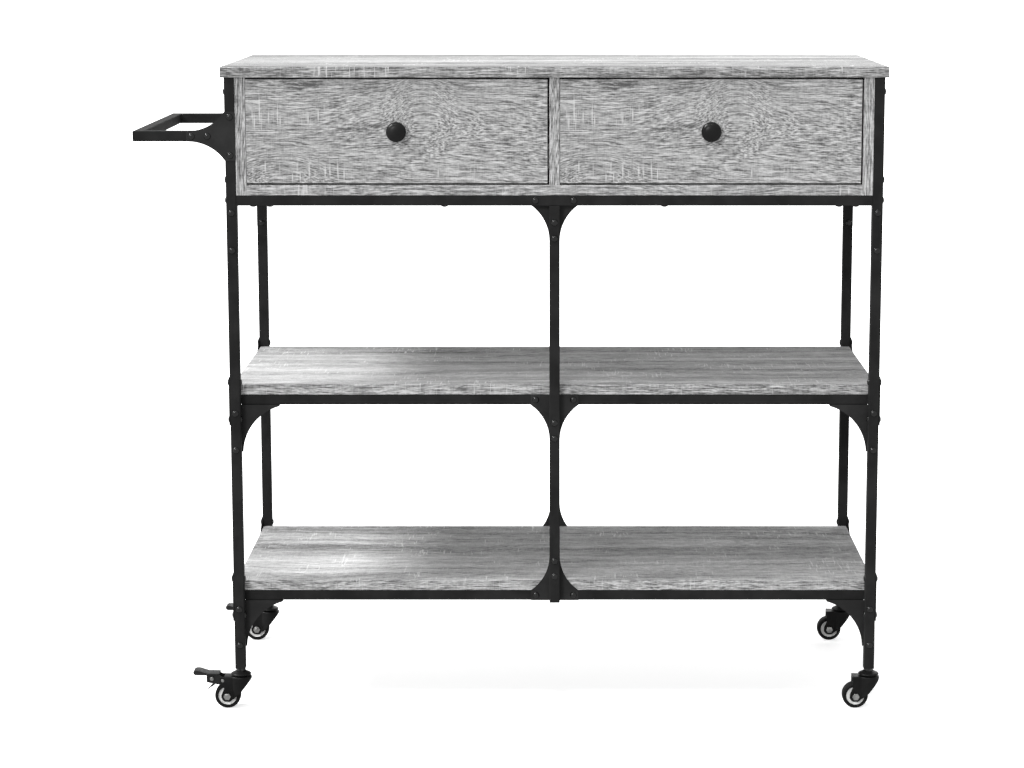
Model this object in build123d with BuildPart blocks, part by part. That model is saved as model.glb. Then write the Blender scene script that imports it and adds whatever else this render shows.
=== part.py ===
# Kitchen island cart. A black square-tube frame on swivel casters carries a worktop, a cabinet with
# two drawers, two open shelves and a push handle at the left end.
# X runs along the cart from the handle end, the front faces -Y, and Z is up from the floor.
import os

from build123d import *

os.makedirs("parts", exist_ok=True)

# Frame of square tube, in millimetres
frame_width = 945.0
frame_depth = 390.0
leg_length = 871.5
tube = 15.0
tube_wall = 1.2
tube_corner = 1.0
plate = 1.5
caster_height = 60.0

# Boards
board = 15.0
back_panel = 6.0
edge_break = 0.5
top_overhang = 5.0
cabinet_height = 169.0
middle_shelf_height = 484.0
bottom_shelf_height = 190.5
shelf_side_inset = 2.5

# Handle
handle_reach = 132.0
handle_height = 847.5

# Gusset plates
tee_span = 70.0
tee_stem = 62.5
tee_arc_end = 59.5
tee_arc_radius = 64.0
tee_band_bolt = 27.5
tee_stem_bolts = (32.0, 55.0)
gusset_reach = 55.5
gusset_drop = 69.5
gusset_tip = 2.0
gusset_strip = 1.5
gusset_arc_radius = 73.0

# Dome fasteners
dome_radius = 5.0
dome_height = 2.4
dome_sides = 6
leg_bolt_drops = (10.5, 65.0)
cabinet_bolt_top_inset = 20.5
cabinet_bolt_bottom_inset = 22.0
underside_screws = (158.5, 410.0, 434.0)

# Drawers
front_gap_left = 0.5
front_gap_right = 2.5
front_gap_top = 2.5
front_gap_bottom = 2.5
drawer_length = 330.0
drawer_side = 12.0
drawer_side_height = 110.0
drawer_side_lift = 10.0
drawer_bottom = 4.0
drawer_bottom_lift = 10.0
groove_depth = 5.0
groove_clearance = 0.2

# Drawer runners
runner_space = 12.5
runner_height = 36.0
runner_depth = 9.5
runner_metal = 1.2
runner_clearance = 0.4
runner_setback = 2.0
runner_lift = 30.0

# Knobs
knob_radius = 14.5
knob_neck_radius = 7.0
knob_neck_length = 9.0
knob_crown = 5.5
knob_flare = 3.0
knob_length = 22.0
knob_sides = 24

# Casters
wheel_radius = 19.0
wheel_width = 17.0
tyre_thickness = 4.4
hub_width = 16.0
hub_sides = 24
wheel_trail = 19.5
axle_radius = 3.0
axle_head_radius = 6.3
axle_head_height = 4.5
stem_radius = 4.0
stem_thread_sides = 12
stem_depth_in_leg = 22.0
stem_head_radius = 6.5
stem_head_height = 3.4
stem_head_sides = 12
stem_nut_radius = 7.0
stem_nut_height = 4.2
race_radius = 10.0
race_height = 1.5
race_sides = 16
cap_radius = 15.0
cap_height = 5.5
cap_rim = 1.6
cap_slope = 6.0
cap_sides = 24
insert_height = 24.0
running_clearance = 0.05
seat_clearance = 0.3
press_clearance = 0.1

# Caster yokes
yoke_round = 16.0
yoke_sides = 24
yoke_width = 23.0
yoke_wall = 1.8
yoke_reach = 24.0
yoke_waist = 31.0
yoke_pocket = 10.0
yoke_skirt = 4.0
yoke_boss_radius = 8.0
yoke_heel_x = -0.5
yoke_heel_z = 24.0

# Brake pedals
brake_ear = 6.0
brake_ear_drop = 9.5
brake_pivot_x = -26.0
brake_pivot_drop = 5.5
brake_pin_radius = 2.5
brake_pin_end = 1.0
brake_pivot_half = 3.4
brake_pivot_corner = 2.0
pedal_metal = 1.5
pedal_width = 22.0
pedal_length = 44.0
pedal_lift = 7.5
pedal_thickness = 3.0
pedal_tip_thickness = 7.5
pedal_tip_length = 9.0
pedal_flange_length = 24.0
pedal_flange_drop = 3.0
pedal_tip_corner = 5.0
pedal_overlap = 1.0
shoe_width = 3.5
shoe_height = 3.4
shoe_offset_x = 4.5
shoe_drop = 6.4

# Places that follow from those sizes
tube_bore = tube - 2 * tube_wall
half_width = frame_width / 2
leg_x = half_width - tube / 2
leg_inner_x = half_width - tube
front_y = tube / 2
rear_y = frame_depth - tube / 2
leg_top = caster_height + leg_length
cabinet_bottom = leg_top - cabinet_height
top_rail_z = cabinet_bottom - tube / 2
middle_rail_z = middle_shelf_height - board - tube / 2
bottom_rail_z = bottom_shelf_height - board - tube / 2
shelf_front_y = tube + plate
shelf_rear_y = frame_depth - shelf_front_y
cabinet_inner_x = leg_inner_x - board
cabinet_floor_top = cabinet_bottom + board
bay_depth = frame_depth - back_panel
bay_width = cabinet_inner_x - board / 2
race_top = caster_height - stem_nut_height - cap_height
yoke_top = race_top - race_height - seat_clearance
axle_length = yoke_width + 2 * axle_head_height

# The origin lies on the floor, under the middle of the whole cart
x_low = -half_width - handle_reach
x_high = max(half_width + top_overhang, leg_x + yoke_round, half_width + plate + dome_height)
y_low = min(-knob_length, -top_overhang, front_y - axle_length / 2)
y_high = frame_depth + max(top_overhang, plate + dome_height, axle_length / 2 - tube / 2)
origin_x = -(x_low + x_high) / 2
origin_y = -(y_low + y_high) / 2


def level(z):
    return Plane((origin_x, origin_y, z))


def front_plane(y, x=0.0):
    return Plane((origin_x + x, origin_y + y, 0), x_dir=(1, 0, 0), z_dir=(0, -1, 0))


def side_plane(x):
    return Plane((origin_x + x, origin_y, 0), x_dir=(0, 1, 0), z_dir=(1, 0, 0))


def plate_plane(place, normal, stem):
    x, y, z = place
    across = Vector(*stem).cross(Vector(*normal))
    return Plane((origin_x + x, origin_y + y, z), x_dir=across, z_dir=normal)


def save(piece, name):
    piece.part.label = name
    export_step(piece.part, f"parts/{name}.step")


corners = (
    ("front_left", -leg_x, front_y),
    ("front_right", leg_x, front_y),
    ("rear_left", -leg_x, rear_y),
    ("rear_right", leg_x, rear_y),
)

# Legs
for corner, x, y in corners:
    with BuildPart() as leg:
        with BuildSketch(level(caster_height)) as section:
            with Locations((x, y)):
                Rectangle(tube, tube)
                chamfer(section.vertices(), tube_corner)
                Rectangle(tube_bore, tube_bore, mode=Mode.SUBTRACT)
        extrude(amount=leg_length)
    save(leg, f"{corner}_leg")

# Long rails, which run between the legs at the top and behind them under the shelves
shelf_rail_y = shelf_front_y + tube / 2
long_rails = (
    ("top_front_rail", front_y, top_rail_z),
    ("top_rear_rail", rear_y, top_rail_z),
    ("middle_front_rail", shelf_rail_y, middle_rail_z),
    ("middle_rear_rail", frame_depth - shelf_rail_y, middle_rail_z),
    ("bottom_front_rail", shelf_rail_y, bottom_rail_z),
    ("bottom_rear_rail", frame_depth - shelf_rail_y, bottom_rail_z),
)
for name, y, z in long_rails:
    with BuildPart() as rail:
        with BuildSketch(side_plane(-leg_inner_x)) as section:
            with Locations((y, z)):
                Rectangle(tube, tube)
                chamfer(section.vertices(), tube_corner)
                Rectangle(tube_bore, tube_bore, mode=Mode.SUBTRACT)
        extrude(amount=2 * leg_inner_x)
    save(rail, name)

# Side rails, one pair for each level
for name, z in (("middle_side_rails", middle_rail_z), ("bottom_side_rails", bottom_rail_z)):
    with BuildPart() as rails:
        for x in (-leg_x, leg_x):
            with BuildSketch(front_plane(tube)) as section:
                with Locations((x, z)):
                    Rectangle(tube, tube)
                    chamfer(section.vertices(), tube_corner)
                    Rectangle(tube_bore, tube_bore, mode=Mode.SUBTRACT)
            extrude(amount=-(frame_depth - 2 * tube))
    save(rails, name)

# The top side rails end in welded plates that hang behind the legs
end_plate_height = tube + gusset_drop
with BuildPart() as rails:
    for x in (-leg_x, leg_x):
        with BuildSketch(front_plane(shelf_front_y)) as section:
            with Locations((x, top_rail_z)):
                Rectangle(tube, tube)
                chamfer(section.vertices(), tube_corner)
                Rectangle(tube_bore, tube_bore, mode=Mode.SUBTRACT)
        extrude(amount=-(shelf_rear_y - shelf_front_y))
        with BuildSketch(level(cabinet_bottom - end_plate_height)):
            with Locations((x, tube + plate / 2), (x, frame_depth - tube - plate / 2)):
                Rectangle(tube, plate)
        extrude(amount=end_plate_height)
save(rails, "top_side_rails")

# Centre posts, in front of the shelf rails and behind them
post_bottom = bottom_rail_z - tube / 2
with BuildPart() as posts:
    for y in (front_y, rear_y):
        with BuildSketch(level(post_bottom)) as section:
            with Locations((0, y)):
                Rectangle(tube, tube)
                chamfer(section.vertices(), tube_corner)
                Rectangle(tube_bore, tube_bore, mode=Mode.SUBTRACT)
        extrude(amount=top_rail_z - tube / 2 - post_bottom)
save(posts, "centre_posts")

# Push handle, a U of the same tube that starts at the left legs
handle_end_x = -half_width - handle_reach
with BuildPart() as handle:
    with BuildSketch(level(handle_height - tube / 2)):
        with Locations((handle_end_x + handle_reach / 2, frame_depth / 2)):
            Rectangle(handle_reach, frame_depth)
        with Locations((handle_end_x + tube + handle_reach / 2, frame_depth / 2)):
            Rectangle(handle_reach, frame_depth - 2 * tube, mode=Mode.SUBTRACT)
    extrude(amount=tube)
    outer_edges = handle.edges().filter_by(Axis.X, reverse=True).filter_by(Axis.Z, reverse=True)
    cross_edges = [edge for edge in outer_edges if edge.length > tube]
    arm_edges = [edge for edge in handle.edges().filter_by(Axis.X) if edge.length > tube]
    chamfer(cross_edges + arm_edges, tube_corner)
    with BuildSketch(level(handle_height - tube_bore / 2)):
        with Locations((handle_end_x + tube_wall + handle_reach / 2, frame_depth / 2)):
            Rectangle(handle_reach, frame_depth - 2 * tube_wall)
        with Locations((handle_end_x + tube - tube_wall + handle_reach / 2, frame_depth / 2)):
            Rectangle(handle_reach, frame_depth - 2 * (tube - tube_wall), mode=Mode.SUBTRACT)
    extrude(amount=tube_bore, mode=Mode.SUBTRACT)
save(handle, "handle_bar")

# Tee gussets: each place is the middle of the band, the way the plate faces and the way its stem points
back = (0, 1, 0)
forth = (0, -1, 0)
up = (0, 0, 1)
down = (0, 0, -1)
left = (-1, 0, 0)
right = (1, 0, 0)
centre_tees = []
for z, stem in ((top_rail_z, down), (middle_rail_z, down), (bottom_rail_z, up)):
    centre_tees.append(((0, tube, z), back, stem))
    centre_tees.append(((0, frame_depth - tube, z), forth, stem))
side_tees = []
for z in (middle_rail_z, bottom_rail_z):
    for y, stem in ((front_y, back), (rear_y, forth)):
        side_tees.append(((-half_width, y, z), left, stem))
        side_tees.append(((half_width, y, z), right, stem))
handle_tees = [((-leg_x, 0, handle_height), forth, left)]
handle_tees.append(((-leg_x, frame_depth, handle_height), back, left))
tee_planes = [plate_plane(*tee) for tee in centre_tees + side_tees + handle_tees]
half_band = tube / 2
with BuildPart() as tees:
    with BuildSketch(*tee_planes):
        with BuildLine():
            Polyline(
                (-tee_span / 2, half_band),
                (-tee_span / 2, -half_band),
                (tee_span / 2, -half_band),
                (tee_span / 2, half_band),
            )
            RadiusArc((tee_span / 2, half_band), (half_band, tee_arc_end), tee_arc_radius)
            Polyline(
                (half_band, tee_arc_end),
                (half_band, tee_stem),
                (-half_band, tee_stem),
                (-half_band, tee_arc_end),
            )
            RadiusArc((-half_band, tee_arc_end), (-tee_span / 2, half_band), tee_arc_radius)
        make_face()
    extrude(amount=plate)
save(tees, "tee_gussets")

# Corner gussets, which hang behind the legs from the shelf rails and are folded under them
gusset_planes = []
fold_y = tube + (plate + tube) / 2
for z in (middle_rail_z - tube / 2, bottom_rail_z - tube / 2):
    for y in (tube + plate / 2, frame_depth - tube - plate / 2):
        gusset_planes.append(Plane((origin_x - leg_inner_x, origin_y + y, z), x_dir=right, z_dir=back))
        gusset_planes.append(Plane((origin_x + leg_inner_x, origin_y + y, z), x_dir=left, z_dir=forth))
with BuildPart() as gussets:
    with BuildSketch(*gusset_planes):
        with BuildLine():
            Polyline(
                (gusset_strip, gusset_drop),
                (-tube, gusset_drop),
                (-tube, 0),
                (gusset_reach, 0),
                (gusset_reach, gusset_tip),
            )
            RadiusArc((gusset_reach, gusset_tip), (gusset_strip, gusset_drop), gusset_arc_radius)
        make_face()
    extrude(amount=plate / 2, both=True)
    for z in (middle_rail_z - tube / 2, bottom_rail_z - tube / 2):
        with BuildSketch(level(z - plate)):
            with Locations((0, frame_depth / 2)):
                with GridLocations(2 * leg_inner_x - gusset_reach, frame_depth - 2 * fold_y, 2, 2):
                    Rectangle(gusset_reach, plate + tube)
        extrude(amount=plate)
save(gussets, "corner_gussets")

# Dome-headed bolts and screws: a place on the surface and the way the fastener goes in
heads = []


def add_head(place, way):
    x, y, z = place
    heads.append(Plane((origin_x + x, origin_y + y, z), z_dir=Vector(*way) * -1))


# Bolts of the tee gussets at the legs, two in the band and two in the stem
for (x, y, z), normal, stem in side_tees + handle_tees:
    outside = Vector(x, y, z) + Vector(*normal) * plate
    band = Vector(*stem).cross(Vector(*normal))
    spots = [outside + band * tee_band_bolt, outside - band * tee_band_bolt]
    spots += [outside + Vector(*stem) * reach for reach in tee_stem_bolts]
    for spot in spots:
        add_head(tuple(spot), tuple(Vector(*normal) * -1))

# Bolts of the tee gussets at the centre posts, put in from the front face and from the rear face
for (x, y, z), normal, stem in centre_tees:
    face = 0 if normal == back else frame_depth
    band_face = face if z == top_rail_z else y
    for band_x in (-tee_band_bolt, tee_band_bolt):
        add_head((band_x, band_face, z), normal)
    for reach in tee_stem_bolts:
        add_head((0, face, z + reach * stem[2]), normal)

# Leg bolts: two below each rail, one into the top side rail and two into the cabinet side
for corner, x, y in corners:
    face, way = (0, back) if y == front_y else (frame_depth, forth)
    for rail_z in (top_rail_z, middle_rail_z, bottom_rail_z):
        for drop in leg_bolt_drops:
            add_head((x, face, rail_z - tube / 2 - drop), way)
    outside_x, inward = (-half_width, right) if x < 0 else (half_width, left)
    for z in (cabinet_bottom + cabinet_bolt_bottom_inset, leg_top - cabinet_bolt_top_inset, top_rail_z):
        add_head((outside_x, y, z), inward)

# Screws from below the top rails into the cabinet floor
for y in (front_y, rear_y):
    for x in underside_screws:
        add_head((x, y, top_rail_z - tube / 2), up)
        add_head((-x, y, top_rail_z - tube / 2), up)
with BuildPart() as fasteners:
    with BuildSketch(*heads):
        RegularPolygon(dome_radius, dome_sides)
    extrude(amount=dome_height)
save(fasteners, "frame_fasteners")

# Worktop and shelves
with BuildPart() as worktop:
    with BuildSketch(level(leg_top)):
        with Locations((0, frame_depth / 2)):
            Rectangle(frame_width + 2 * top_overhang, frame_depth + 2 * top_overhang)
    extrude(amount=board)
    chamfer(worktop.edges(), edge_break)
save(worktop, "worktop")
for name, top in (("middle_shelf", middle_shelf_height), ("bottom_shelf", bottom_shelf_height)):
    with BuildPart() as shelf:
        with BuildSketch(level(top - board)):
            with Locations((0, frame_depth / 2)):
                Rectangle(frame_width - 2 * shelf_side_inset, shelf_rear_y - shelf_front_y)
        extrude(amount=board)
        chamfer(shelf.edges(), edge_break)
    save(shelf, name)

# Cabinet carcass
for name, side in (("cabinet_left_side", -1), ("cabinet_right_side", 1)):
    with BuildPart() as panel:
        with BuildSketch(level(cabinet_bottom)):
            with Locations((side * (cabinet_inner_x + board / 2), frame_depth / 2)):
                Rectangle(board, frame_depth)
        extrude(amount=cabinet_height)
        chamfer(panel.edges().filter_by(Axis.Z), edge_break)
    save(panel, name)
with BuildPart() as cabinet_floor:
    with BuildSketch(level(cabinet_bottom)):
        with Locations((0, bay_depth / 2)):
            Rectangle(2 * cabinet_inner_x, bay_depth)
    extrude(amount=board)
    chamfer(cabinet_floor.faces().sort_by(Axis.Y)[0].edges().filter_by(Axis.X), edge_break)
save(cabinet_floor, "cabinet_floor")
with BuildPart() as divider:
    with BuildSketch(level(cabinet_floor_top)):
        with Locations((0, bay_depth / 2)):
            Rectangle(board, bay_depth)
    extrude(amount=leg_top - cabinet_floor_top)
    chamfer(divider.faces().sort_by(Axis.Y)[0].edges().filter_by(Axis.Z), edge_break)
save(divider, "cabinet_divider")
with BuildPart() as cabinet_back:
    with BuildSketch(level(cabinet_bottom)):
        with Locations((0, frame_depth - back_panel / 2)):
            Rectangle(2 * cabinet_inner_x, back_panel)
    extrude(amount=cabinet_height)
save(cabinet_back, "cabinet_back")

# Runners: a channel on each wall of a bay, and a smaller channel on the drawer that slides in it
drawer_low = cabinet_floor_top + drawer_side_lift
runner_z = drawer_low + runner_lift
runner_start = board + runner_setback
runner_length = drawer_length - runner_setback
inner_runner_height = runner_height - 2 * runner_metal - 2 * runner_clearance
inner_runner_depth = runner_space - runner_metal - runner_clearance
bays = (("left", -cabinet_inner_x), ("right", board / 2))
with BuildPart() as channels:
    for bay, wall_x in bays:
        for inner_x, inward in ((wall_x, 1), (wall_x + bay_width, -1)):
            with BuildSketch(front_plane(runner_start)):
                with Locations((inner_x + inward * runner_depth / 2, runner_z)):
                    Rectangle(runner_depth, runner_height)
                with Locations((inner_x + inward * (runner_metal + runner_depth / 2), runner_z)):
                    Rectangle(runner_depth, runner_height - 2 * runner_metal, mode=Mode.SUBTRACT)
            extrude(amount=-runner_length)
save(channels, "cabinet_runners")

for bay, wall_x in bays:
    middle_x = wall_x + bay_width / 2
    box_width = bay_width - 2 * runner_space
    side_x = box_width / 2 - drawer_side / 2
    bottom_z = drawer_low + drawer_bottom_lift
    drawer_back_y = board + drawer_length - drawer_side / 2

    front_width = bay_width - front_gap_left - front_gap_right
    front_x = wall_x + front_gap_left + front_width / 2
    front_low = cabinet_floor_top + front_gap_bottom
    front_height = leg_top - front_gap_top - front_low
    with BuildPart() as front:
        with BuildSketch(level(front_low)):
            with Locations((front_x, board / 2)):
                Rectangle(front_width, board)
        extrude(amount=front_height)
        chamfer(front.edges(), edge_break)
    save(front, f"{bay}_drawer_front")

    with BuildPart() as sides:
        for hand in (-1, 1):
            with BuildSketch(level(drawer_low)):
                with Locations((middle_x + hand * side_x, board + drawer_length / 2)):
                    Rectangle(drawer_side, drawer_length)
            extrude(amount=drawer_side_height)
            with BuildSketch(level(bottom_z - groove_clearance)):
                groove_x = box_width / 2 - drawer_side + groove_depth / 2
                with Locations((middle_x + hand * groove_x, board + drawer_length / 2)):
                    Rectangle(groove_depth, drawer_length)
            extrude(amount=drawer_bottom + 2 * groove_clearance, mode=Mode.SUBTRACT)
    save(sides, f"{bay}_drawer_sides")

    bottom_width = box_width - 2 * (drawer_side - groove_depth + groove_clearance)
    with BuildPart() as floor:
        with BuildSketch(level(bottom_z)):
            with Locations((middle_x, board + drawer_length / 2)):
                Rectangle(bottom_width, drawer_length)
        extrude(amount=drawer_bottom)
    save(floor, f"{bay}_drawer_bottom")

    with BuildPart() as rear:
        with BuildSketch(level(bottom_z + drawer_bottom)):
            with Locations((middle_x, drawer_back_y)):
                Rectangle(box_width - 2 * drawer_side, drawer_side)
        extrude(amount=drawer_low + drawer_side_height - bottom_z - drawer_bottom)
    save(rear, f"{bay}_drawer_back")

    with BuildPart() as slides:
        for hand in (-1, 1):
            with BuildSketch(front_plane(runner_start)):
                face_x = middle_x + hand * box_width / 2
                with Locations((face_x + hand * inner_runner_depth / 2, runner_z)):
                    Rectangle(inner_runner_depth, inner_runner_height)
                with Locations((face_x + hand * (runner_metal + inner_runner_depth / 2), runner_z)):
                    hollow = inner_runner_height - 2 * runner_metal
                    Rectangle(inner_runner_depth, hollow, mode=Mode.SUBTRACT)
            extrude(amount=-runner_length)
    save(slides, f"{bay}_drawer_runners")

    knob_z = front_low + front_height / 2
    with BuildPart() as knob:
        with BuildSketch(front_plane(-knob_neck_length, front_x)):
            with Locations((0, knob_z)):
                RegularPolygon(knob_radius, knob_sides)
        extrude(amount=knob_length - knob_neck_length)
        chamfer(knob.faces().sort_by(Axis.Y)[0].edges(), knob_crown)
        chamfer(knob.faces().sort_by(Axis.Y)[-1].edges(), knob_flare)
        with BuildSketch(front_plane(0, front_x)):
            with Locations((0, knob_z)):
                RegularPolygon(knob_neck_radius, knob_sides)
        extrude(amount=knob_neck_length)
    save(knob, f"{bay}_drawer_knob")

# Inserts that close the legs and hold the caster stems
with BuildPart() as inserts:
    with BuildSketch(level(caster_height)):
        with Locations(*[(x, y) for corner, x, y in corners]):
            Rectangle(tube_bore - 2 * press_clearance, tube_bore - 2 * press_clearance)
            RegularPolygon(stem_radius + running_clearance, 6, major_radius=False, mode=Mode.SUBTRACT)
    extrude(amount=insert_height)
save(inserts, "leg_inserts")

# Caster stems: a head inside the yoke, a shank, the ball race over the yoke, a nut and the threaded end
stem_head_top = yoke_top - yoke_wall - seat_clearance
stem_places = [(x, y) for corner, x, y in corners]
with BuildPart() as stems:
    with BuildSketch(level(stem_head_top - stem_head_height)):
        with Locations(*stem_places):
            RegularPolygon(stem_head_radius, stem_head_sides)
    extrude(amount=stem_head_height)
    with BuildSketch(level(stem_head_top)):
        with Locations(*stem_places):
            Circle(stem_radius)
    extrude(amount=race_top - race_height - stem_head_top)
    with BuildSketch(level(race_top - race_height)):
        with Locations(*stem_places):
            RegularPolygon(race_radius, race_sides)
    extrude(amount=race_height)
    with BuildSketch(level(race_top)):
        with Locations(*stem_places):
            RegularPolygon(stem_nut_radius, 6)
    extrude(amount=caster_height - race_top)
    with BuildSketch(level(caster_height)):
        with Locations(*stem_places):
            RegularPolygon(stem_radius, stem_thread_sides)
    extrude(amount=stem_depth_in_leg)
save(stems, "caster_stems")

# Bearing caps, domed covers over the ball races
with BuildPart() as caps:
    with BuildSketch(level(race_top)):
        with Locations(*stem_places):
            RegularPolygon(cap_radius, cap_sides)
    extrude(amount=cap_height)
    for crown in caps.faces().filter_by(Axis.Z).sort_by(Axis.Z)[-len(corners) :]:
        chamfer(crown.edges(), cap_slope, cap_height - cap_rim, reference=crown)
    with BuildSketch(level(race_top)):
        with Locations(*stem_places):
            RegularPolygon(stem_nut_radius + press_clearance, 6)
    extrude(amount=cap_height, mode=Mode.SUBTRACT)
save(caps, "bearing_caps")

# Casters: all four trail towards the handle, and the two under the handle have a brake
axle_x = -wheel_trail
brake_pivot_z = yoke_top - brake_pivot_drop
boss_corner = yoke_boss_radius * 0.5**0.5
inner_width = yoke_width - 2 * yoke_wall
yoke_low = wheel_radius - yoke_boss_radius
for corner, x, y in corners:
    braked = x < 0
    plan = Plane((origin_x + x, origin_y + y, 0))
    profile = front_plane(y, x)
    reach = yoke_reach + brake_ear if braked else yoke_reach
    ear = [(-reach, yoke_top), (-reach, yoke_top - brake_ear_drop)] if braked else []
    heel = [(-yoke_reach, yoke_waist)] if braked else [(-yoke_reach, yoke_top), (-yoke_reach, yoke_waist)]
    boss = (
        (axle_x - yoke_boss_radius, wheel_radius),
        (axle_x - boss_corner, wheel_radius - boss_corner),
        (axle_x, yoke_low),
        (axle_x + boss_corner, wheel_radius - boss_corner),
    )
    with BuildPart() as yoke:
        with BuildSketch(plan.offset(yoke_low)):
            RegularPolygon(yoke_round, yoke_sides)
            with Locations((-reach / 2, 0)):
                Rectangle(reach, yoke_width)
        extrude(amount=yoke_top - yoke_low)
        with BuildSketch(plan.offset(yoke_low)):
            with Locations(((yoke_pocket - reach) / 2, 0)):
                Rectangle(yoke_pocket + reach, inner_width)
        extrude(amount=yoke_top - yoke_wall - yoke_low, mode=Mode.SUBTRACT)
        with BuildSketch(profile):
            with BuildLine():
                Polyline(
                    *ear,
                    *heel,
                    *boss,
                    (yoke_heel_x, yoke_heel_z),
                    (yoke_round, yoke_top - yoke_skirt),
                    (yoke_round, yoke_top),
                    close=True,
                )
            make_face()
        extrude(amount=yoke_round, both=True, mode=Mode.INTERSECT)
        with BuildSketch(plan.offset(yoke_top)):
            Circle(stem_radius + running_clearance)
            if braked:
                with Locations((-yoke_reach - brake_ear / 2, 0)):
                    Rectangle(brake_ear, inner_width)
        extrude(amount=-yoke_wall, mode=Mode.SUBTRACT)
        with BuildSketch(profile):
            with Locations((axle_x, wheel_radius)):
                RegularPolygon(axle_radius + running_clearance, 6)
            if braked:
                with Locations((brake_pivot_x, brake_pivot_z)):
                    Circle(brake_pin_radius + running_clearance)
        extrude(amount=yoke_width, both=True, mode=Mode.SUBTRACT)
    save(yoke, f"{corner}_yoke")

    with BuildPart() as axle:
        with BuildSketch(profile):
            with Locations((axle_x, wheel_radius)):
                Circle(axle_radius)
        extrude(amount=inner_width / 2, both=True)
        for side in (1, -1):
            with BuildSketch(profile.offset(side * inner_width / 2)):
                with Locations((axle_x, wheel_radius)):
                    RegularPolygon(axle_radius, 6)
            extrude(amount=side * yoke_wall)
            with BuildSketch(profile.offset(side * yoke_width / 2)):
                with Locations((axle_x, wheel_radius)):
                    RegularPolygon(axle_head_radius, 6)
            extrude(amount=side * axle_head_height)
    save(axle, f"{corner}_axle")

    with BuildPart() as tyre:
        with BuildSketch(profile):
            with Locations((axle_x, wheel_radius)):
                Circle(wheel_radius)
                RegularPolygon(wheel_radius - tyre_thickness, hub_sides, mode=Mode.SUBTRACT)
        extrude(amount=wheel_width / 2, both=True)
    save(tyre, f"{corner}_tyre")

    with BuildPart() as hub:
        with BuildSketch(profile):
            with Locations((axle_x, wheel_radius)):
                RegularPolygon(wheel_radius - tyre_thickness - running_clearance, hub_sides)
                Circle(axle_radius + running_clearance, mode=Mode.SUBTRACT)
        extrude(amount=hub_width / 2, both=True)
    save(hub, f"{corner}_hub")

    if not braked:
        continue
    flange_out = inner_width / 2 - runner_clearance
    flange_in = flange_out - pedal_metal
    pedal_low = brake_pivot_z + pedal_lift
    pedal_right = brake_pivot_x - brake_ear + pedal_overlap
    pedal_tip = brake_pivot_x - pedal_length
    flange_left = brake_pivot_x - pedal_flange_length
    shoe_z = brake_pivot_z - shoe_drop
    shoe_right = brake_pivot_x - shoe_offset_x
    nose = brake_pivot_x + brake_pivot_half
    nose_corner = nose - brake_pivot_corner
    corner_half = brake_pivot_half - brake_pivot_corner
    with BuildPart() as pedal:
        with BuildSketch(profile):
            with BuildLine():
                Polyline(
                    (flange_left, pedal_low),
                    (flange_left, brake_pivot_z - pedal_flange_drop),
                    (shoe_right - shoe_width, shoe_z),
                    (shoe_right, shoe_z),
                    (nose_corner, brake_pivot_z - brake_pivot_half),
                    (nose, brake_pivot_z - corner_half),
                    (nose, brake_pivot_z + corner_half),
                    (nose_corner, brake_pivot_z + brake_pivot_half),
                    (pedal_right, pedal_low),
                    close=True,
                )
            make_face()
        extrude(amount=flange_out, both=True)
        with BuildSketch(profile):
            with Locations((brake_pivot_x - pedal_flange_length / 2, brake_pivot_z)):
                Rectangle(2 * pedal_length, 2 * pedal_length)
            with Locations((shoe_right - shoe_width / 2, shoe_z + shoe_height / 2)):
                Rectangle(shoe_width, shoe_height, mode=Mode.SUBTRACT)
        extrude(amount=flange_in, both=True, mode=Mode.SUBTRACT)
        with BuildSketch(profile):
            with BuildLine():
                Polyline(
                    (pedal_right, pedal_low + pedal_thickness),
                    (pedal_right, pedal_low),
                    (pedal_tip, pedal_low),
                    (pedal_tip, pedal_low + pedal_tip_thickness),
                    (pedal_tip + pedal_tip_length, pedal_low + pedal_tip_thickness),
                    (flange_left, pedal_low + pedal_thickness),
                    close=True,
                )
            make_face()
        extrude(amount=pedal_width / 2, both=True)
        tip = pedal.faces().filter_by(Axis.X).sort_by(Axis.X)[0]
        chamfer(tip.edges().filter_by(Axis.Z), pedal_tip_corner)
        for side in (1, -1):
            with BuildSketch(profile.offset(side * flange_out)):
                with Locations((brake_pivot_x, brake_pivot_z)):
                    Circle(brake_pin_radius)
            extrude(amount=side * (yoke_width / 2 + brake_pin_end - flange_out))
    save(pedal, f"{corner}_brake_pedal")
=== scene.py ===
# %% [markdown]
# # A kitchen island cart, dressed for a product picture
# The solids of the cart come in as a fixed frame: every tube, board and wheel is already in its place, in
# metres. This lesson adds what the eye looks for: printed oak on the boards, powder coat on the tubes,
# turned knobs, dome-headed bolts and casters with rounded sheet metal.

# %% Load the frame
import math

import bmesh
import bpy
from mathutils import Matrix, Vector


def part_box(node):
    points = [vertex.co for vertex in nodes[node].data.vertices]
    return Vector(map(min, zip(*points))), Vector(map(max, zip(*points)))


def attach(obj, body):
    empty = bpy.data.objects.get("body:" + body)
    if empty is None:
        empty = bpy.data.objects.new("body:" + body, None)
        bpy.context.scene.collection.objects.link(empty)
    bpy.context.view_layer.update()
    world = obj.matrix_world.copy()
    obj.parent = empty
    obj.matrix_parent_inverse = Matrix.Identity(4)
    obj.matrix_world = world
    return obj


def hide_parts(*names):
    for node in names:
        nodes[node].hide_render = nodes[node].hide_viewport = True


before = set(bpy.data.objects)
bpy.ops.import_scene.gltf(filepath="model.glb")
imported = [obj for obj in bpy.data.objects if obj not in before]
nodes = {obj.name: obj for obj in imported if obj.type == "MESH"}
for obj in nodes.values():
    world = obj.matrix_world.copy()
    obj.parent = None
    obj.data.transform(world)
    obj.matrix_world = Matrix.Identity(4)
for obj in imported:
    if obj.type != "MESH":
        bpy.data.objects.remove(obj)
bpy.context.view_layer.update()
MM = 0.001

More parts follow.
